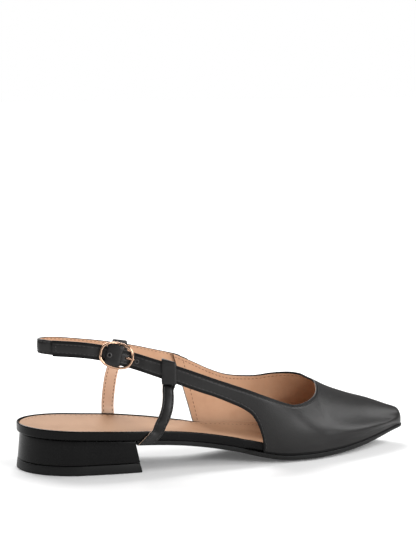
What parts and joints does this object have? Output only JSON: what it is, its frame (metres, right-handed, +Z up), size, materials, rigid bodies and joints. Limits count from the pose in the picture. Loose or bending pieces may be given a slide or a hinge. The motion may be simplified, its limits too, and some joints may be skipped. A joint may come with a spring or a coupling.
{
  "type": "sling back flat shoe",
  "caption": "Right sling back flat with a pointed vamp, cut-out sides, a low block heel and a strap round the heel held by side stays and an oval buckle.",
  "frame": {"origin": "on the floor, under the middle of the shoe's box", "axes": "+X from heel to toe, +Y towards the medial side (the inner side of the foot), +Z up"},
  "size_m": [0.263, 0.0746, 0.0828],
  "materials": {
    "black_leather": "smooth, satin",
    "tan_leather": "matt lining leather",
    "gloss_black": "satin gloss heel cover",
    "sole_rubber": "matt",
    "rose_gold_metal": "polished, rose gold"
  },
  "bodies": {
    "root": {"outsole": "sole_rubber", "footbed": "black_leather", "sock": "tan_leather", "heel_block": "gloss_black", "top_piece": "sole_rubber", "upper": "black_leather", "sling_strap": "black_leather", "stay_lateral": "black_leather", "stay_medial": "black_leather", "buckle_frame": "rose_gold_metal", "buckle_prong": "rose_gold_metal"}
  },
  "joints": []
}
